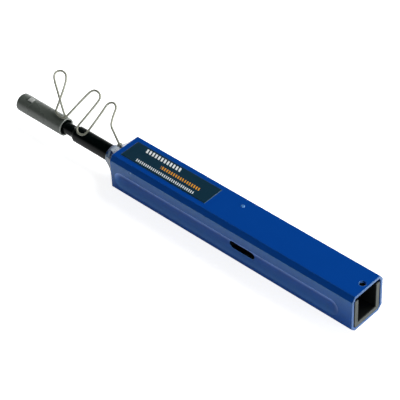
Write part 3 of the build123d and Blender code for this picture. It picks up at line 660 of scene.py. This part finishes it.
# %% Dress the CAD nodes
dressing = [
    (housing_blue, ("housing_base", "housing_cover")),
    (pin_blue, ("rack_pin",)),
    (label_teal, ("label_plate",)),
    (natural_white, ("rack_strip", "brake_washer", "supply_bobbin", "takeup_bobbin")),
    (natural_white, ("drive_pinion", "cam_rotor")),
    (steel, ("cam_pin", "return_spring", "supply_axle", "takeup_axle", "thread_guide", "head_shaft")),
    (core_grey, ("core_tray", "core_bridge")),
    (nozzle_black, ("nozzle_tube",)),
    (cap_grey, ("guide_cap",)),
    (insert_pale, ("cap_insert", "cleaning_head")),
    (thread_white, ("supply_thread", "thread_feed", "tip_thread")),
    (thread_used, ("takeup_thread", "thread_return")),
    (tether_clear, ("cap_tether",)),
]
for finish, members in dressing:
    for member in members:
        nodes[member].data.materials.clear()
        nodes[member].data.materials.append(finish)
print("dressed:", sum(len(members) for _, members in dressing), "of", len(nodes), "nodes")

# %% [markdown]
# The tether stands in waves beside the nozzle, so it is bent like wire and isn't a loose cord. Its
# CAD solid is made of straight runs and short arcs. Here a smooth curve is led by corners instead.
# They lie in a plane that leans up and back, and the last bend is lifted to pass over itself.

# %% Tether route
nose_front = 133.4
strand_radius = 0.45
nozzle_radius = 4.0
air = 0.1
lean = math.radians(30.0)
stand_off = nozzle_radius + strand_radius + air


def strand_point(along, out, lift):
    """A corner of the strand: along from the nose's front, out in the leaning plane, and lifted."""
    reach = stand_off + lift
    across = reach * math.sin(lean) - out * math.cos(lean)
    height = axis_z / MM + reach * math.cos(lean) + out * math.sin(lean)
    return place(nose_front + along, across, height)


strand_corners = [
    (2.8, 7.6, 0.0), (5.6, 9.2, 0.0), (6.7, 11.3, 0.0), (7.9, 14.3, 0.0), (8.7, 17.2, 0.0),
    (11.5, 18.4, 0.0), (13.6, 16.5, 0.0), (13.3, 13.3, 0.0), (13.4, 1.3, 0.0), (14.8, -0.4, 0.0),
    (17.4, -0.4, 0.0), (19.4, 1.4, 0.0), (18.8, 5.9, 0.0), (18.1, 14.3, 0.0), (18.2, 17.6, 0.0),
    (21.0, 19.1, 0.0), (23.9, 18.6, 0.0), (25.0, 14.9, 0.0), (26.7, 4.2, 0.0), (27.5, 1.6, 0.0),
    (33.1, 2.3, -0.1), (34.1, 4.9, -0.3), (36.3, 11.1, -0.5), (39.5, 18.5, -0.7), (43.4, 19.58, -0.7),
    (45.5, 18.0, -0.3), (44.8, 15.2, 0.3), (38.0, 10.6, 0.8), (30.7, 5.4, 1.0), (27.6, 3.3, 0.9),
]
knot = knot_spot + knot_up * 1.1 * MM
cap_hole = [place(161.6, -0.98, 13.6), place(161.6, -0.72, 12.3)]
route = [knot] + [strand_point(*corner) for corner in strand_corners] + cap_hole
print("tether corners:", len(route))

# %% [markdown]
# The bends could be worked out as arcs, one by one. A NURBS curve is simpler: the corners lead it
# without sharp turns, and its points are read off for the tubes.

# %% Smooth curve of the tether
def curve_points(corners, fineness=6):
    """Points along the smooth curve that the corners lead."""
    curve = bpy.data.curves.new("tether_route", "CURVE")
    curve.dimensions = "3D"
    spline = curve.splines.new("NURBS")
    spline.points.add(len(corners) - 1)
    for point, corner_place in zip(spline.points, corners):
        point.co = (*corner_place, 1.0)
    spline.order_u = 3
    spline.use_endpoint_u = True
    spline.resolution_u = fineness
    holder = put_in_scene("tether_route", curve)
    points = [vertex.co.copy() for vertex in bpy.data.meshes.new_from_object(holder).vertices]
    bpy.data.objects.remove(holder)
    return points


strand_line = curve_points(route)
strand_length = sum((b - a).length for a, b in zip(strand_line, strand_line[1:]))
print("strand points:", len(strand_line), "length in mm:", round(strand_length / MM, 1))

# %% [markdown]
# A strand and a knot are both skins over a row of rings. A curve with a bevel could make the strand,
# but a plain mesh is easier to bend, so the rings are joined to a closed mesh here.

# %% Closed rings
def closed_rings(name, corners, sides):
    """A closed mesh over rings of corners, smooth along its sides and flat at its two ends."""
    last = len(corners) - sides
    faces = []
    for low in range(0, last, sides):
        high = low + sides
        for step in range(sides):
            after = (step + 1) % sides
            faces.append((low + step, low + after, high + after, high + step))
    faces.append(tuple(reversed(range(sides))))
    faces.append(tuple(range(last, last + sides)))
    mesh = bpy.data.meshes.new(name)
    mesh.from_pydata(corners, [], faces)
    mesh.polygons.foreach_set("use_smooth", [True] * (len(faces) - 2) + [False] * 2)
    return put_in_scene(name, mesh)


def ring(centre, first, second, radius, sides):
    """The corners of one ring round a centre, in the plane of two directions."""
    turns = [2 * math.pi * step / sides for step in range(sides)]
    return [centre + (first * math.cos(turn) + second * math.sin(turn)) * radius for turn in turns]


def tube(name, points, radius, sides=14):
    """A round tube along points; its rings turn as little as they can from one to the next."""
    ends = [points[0], *points, points[-1]]
    headings = [(after - before).normalized() for before, after in zip(ends, ends[2:])]
    normal = headings[0].orthogonal().normalized()
    corners = []
    for point, heading in zip(points, headings):
        normal = (normal - heading * normal.dot(heading)).normalized()
        corners += ring(point, normal, heading.cross(normal), radius, sides)
    return closed_rings(name, corners, sides)


print("tubes can be made")

# %% [markdown]
# The strand is drawn as two round tubes that meet in the middle wave. One tube could follow only two
# bodies, and the strand has three to follow, so it is made as two halves: the first from the housing to
# the middle wave, and the second from there to the cap.

# %% Tether tubes
wave_top = strand_point(22.5, 18.9, 0.0)
middle = min(range(len(strand_line)), key=lambda i: (strand_line[i] - wave_top).length)
near_half = tube("tether_near_half", strand_line[: middle + 1], strand_radius * MM)
far_half = tube("tether_far_half", strand_line[middle:], strand_radius * MM)
for half in (near_half, far_half):
    half.data.materials.append(tether_clear)
    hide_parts("cap_tether")
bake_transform(near_half)
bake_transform(far_half)

# %% [markdown]
# On the nose the strand ends in a small moulded knot over a round hole. A ball would be quicker, but
# the real one has a neck. So it is turned as one profile, each point a radius and a height in mm: a
# thin neck down in the hole, and the rounded knot that the strand leaves.

# %% Tether knot
knot_profile = [
    (0.42, -0.98), (0.4, 0.2), (0.55, 0.42), (0.95, 0.6), (1.12, 0.85),
    (1.12, 1.15), (1.0, 1.45), (0.72, 1.7), (0.4, 1.82),
]
knot_sides = 28
knot_first = knot_up.orthogonal().normalized()
knot_second = knot_up.cross(knot_first)
knot_corners = []
for radius, height in knot_profile:
    centre = knot_spot + knot_up * height * MM
    knot_corners += ring(centre, knot_first, knot_second, radius * MM, knot_sides)
tether_knot = closed_rings("tether_knot", knot_corners, knot_sides)
tether_knot.data.materials.append(tether_clear)
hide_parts("cap_tether")
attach(tether_knot, "housing")
print("knot corners:", len(tether_knot.data.vertices))

# %% [markdown]
# The return spring is wound from round wire and sits between the cover's lug and the core. As one rigid
# solid it would run into the cover when the core slides back. So its coils are copied into a mesh of
# their own, and the CAD solid is hidden.

# %% Return spring
spring = put_in_scene("spring_coils", nodes["return_spring"].data.copy())
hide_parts("return_spring")
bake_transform(spring)

# %% [markdown]
# The tool lies on a plain pale floor, as for a catalogue picture. More light could make the floor
# white, but it would wash out the plastics too. So the floor glows just enough for the camera, and
# keeps the tool's soft shadow.

# %% Floor
floor_reach = 6.0
floor_gap = 0.02 * MM
floor_z = cad_low.z - floor_gap
quarters = ((-1, -1), (1, -1), (1, 1), (-1, 1))
floor_corners = [(x * floor_reach, y * floor_reach, floor_z) for x, y in quarters]
floor_mesh = bpy.data.meshes.new("studio_floor")
floor_mesh.from_pydata(floor_corners, [], [(0, 1, 2, 3)])
floor = put_in_scene("studio_floor", floor_mesh)
floor_paint, tree, shader = start_material(
    "studio_floor", Roughness=0.9, Specular_IOR_Level=0.0,
    Base_Color=(0.74, 0.75, 0.76, 1.0), Emission_Color=(1.0, 1.0, 1.0, 1.0),
)
floor.data.materials.append(floor_paint)
floor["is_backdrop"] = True
print("floor:", floor.name, "at Z", round(floor_z, 6))

# %% [markdown]
# The glossy side of the tool mirrors the floor. A real floor is dimmer close to the tool, under its
# own shadow, and the side shows that as a soft change of tone. So what a mirror ray sees grows
# brighter from 1 mm to 13 mm away from the tool's side, and ahead of the nose it is bright sooner.

# %% Floor glow
seen_white = 0.84
near_gap, far_gap = 1.0 * MM, 13.0 * MM
housing_front, nose_tip = 62.5 * MM, 70.6 * MM
rays = add(tree, "ShaderNodeLightPath").outputs
mirrored_ray = maths(tree, "MAXIMUM", rays["Is Glossy Ray"], rays["Is Transmission Ray"])
on_floor = axes_of(tree, spot_on_part(tree))
tool_side = ramp(tree, on_floor["X"], housing_front, nose_tip, 9.0 * MM, -2.0 * MM)
from_tool = maths(tree, "SUBTRACT", maths(tree, "ABSOLUTE", on_floor["Y"]), tool_side)
glow = ramp(tree, from_tool, near_gap, far_gap, 0.02, 0.75)
to_mirror = maths(tree, "MULTIPLY", mirrored_ray, glow)
to_camera = maths(tree, "MULTIPLY", rays["Is Camera Ray"], seen_white)
join(tree, maths(tree, "ADD", to_mirror, to_camera), shader.inputs["Emission Strength"])
print("floor seen by the camera at", seen_white)

# %% [markdown]
# The main light is a soft panel above the far side, so the top is lit, the sloped edge stays dark
# and the near side glows from the floor. A sun would give hard edges, which a catalogue picture
# hasn't. Low panels behind and in front put thin glints on the rear rim and the nose.

# %% Lamps
lamp_aim = Vector((0.03, 0, 0.01))


def panel(name, direction, distance, width, height, level):
    """A soft panel that faces the object; level is the light it gives, 1 being a plain studio level."""
    lamp = bpy.data.lights.new(name, "AREA")
    lamp.shape = "RECTANGLE"
    lamp.size, lamp.size_y = width, height
    lamp.energy = level * math.pi**2 * distance**2
    made = put_in_scene(name, lamp)
    towards = Vector(direction).normalized()
    made.location = lamp_aim + towards * distance
    made.rotation_mode = "QUATERNION"
    made.rotation_quaternion = towards.to_track_quat("Z", "Y")
    return made


panels = [
    panel("top_panel", (-0.3, -0.64, 0.7), distance=1.4, width=1.1, height=1.1, level=1.2),
    panel("near_panel", (-0.55, 0.8, 0.2), distance=1.2, width=0.7, height=0.3, level=0.17),
    panel("rear_panel", (-0.98, -0.12, 0.07), distance=1.1, width=0.7, height=0.12, level=1.3),
    panel("front_panel", (0.845, -0.532, 0.2), distance=0.8, width=0.35, height=0.42, level=0.1),
]
print("lamps:", [made.name for made in panels])

# %% [markdown]
# The room around the floor is dim above and pale at the horizon, which keeps the plastic's top dark
# and rich, and it is dim straight ahead of the nose. A picture of a real studio could be wrapped
# round the scene, but two ramps on the direction do the same and stay easy to change.

# %% Room
world = bpy.data.worlds.new("studio_room")
bpy.context.scene.world = world
world.use_nodes = True
tree = world.node_tree
ground = tree.nodes["Background"]
direction = axes_of(tree, add(tree, "ShaderNodeTexCoord").outputs["Generated"])
by_height = ramp(tree, direction["Z"], 0.05, 0.32, 0.8, 0.02)
ahead = ramp(tree, direction["X"], 0.72, 0.95, 1.0, 0.1)
dim = maths(tree, "MULTIPLY", by_height, ahead)
print("room:", world.name)

# %% [markdown]
# A picture for a shop stands on plain white. The background could be cut out later, but here the
# camera, and rays that pass through clear parts, see the room as white, and so do mirror rays that
# go below the horizon. What lights the tool stays as dim as before.

# %% White background
horizon = 0.05
rays = add(tree, "ShaderNodeLightPath").outputs
below_horizon = maths(tree, "LESS_THAN", direction["Z"], horizon)
low_mirror = maths(tree, "MULTIPLY", rays["Is Glossy Ray"], below_horizon)
sees_white = maths(tree, "MAXIMUM", rays["Is Camera Ray"], rays["Is Transmission Ray"])
sees_white = maths(tree, "MAXIMUM", sees_white, low_mirror)
sees_room = maths(tree, "SUBTRACT", 1.0, sees_white)
strength = maths(tree, "MULTIPLY_ADD", dim, sees_room, sees_white)
join(tree, strength, ground.inputs["Strength"])
ground.inputs["Color"].default_value = (1.0, 1.0, 1.0, 1.0)
bpy.context.scene.view_settings.view_transform = "Standard"
print("view:", bpy.context.scene.view_settings.view_transform)

# %% [markdown]
# Last, the box of the CAD model and the box of the dressed model are gathered side by side, and the
# dressed one is printed.

# %% Finish
low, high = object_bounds()
sizes = {"cad_box": [list(cad_low), list(cad_high)], "visual_box": [list(low), list(high)]}
print("visual box in mm:", [round(v / MM, 2) for v in (*low, *high)])
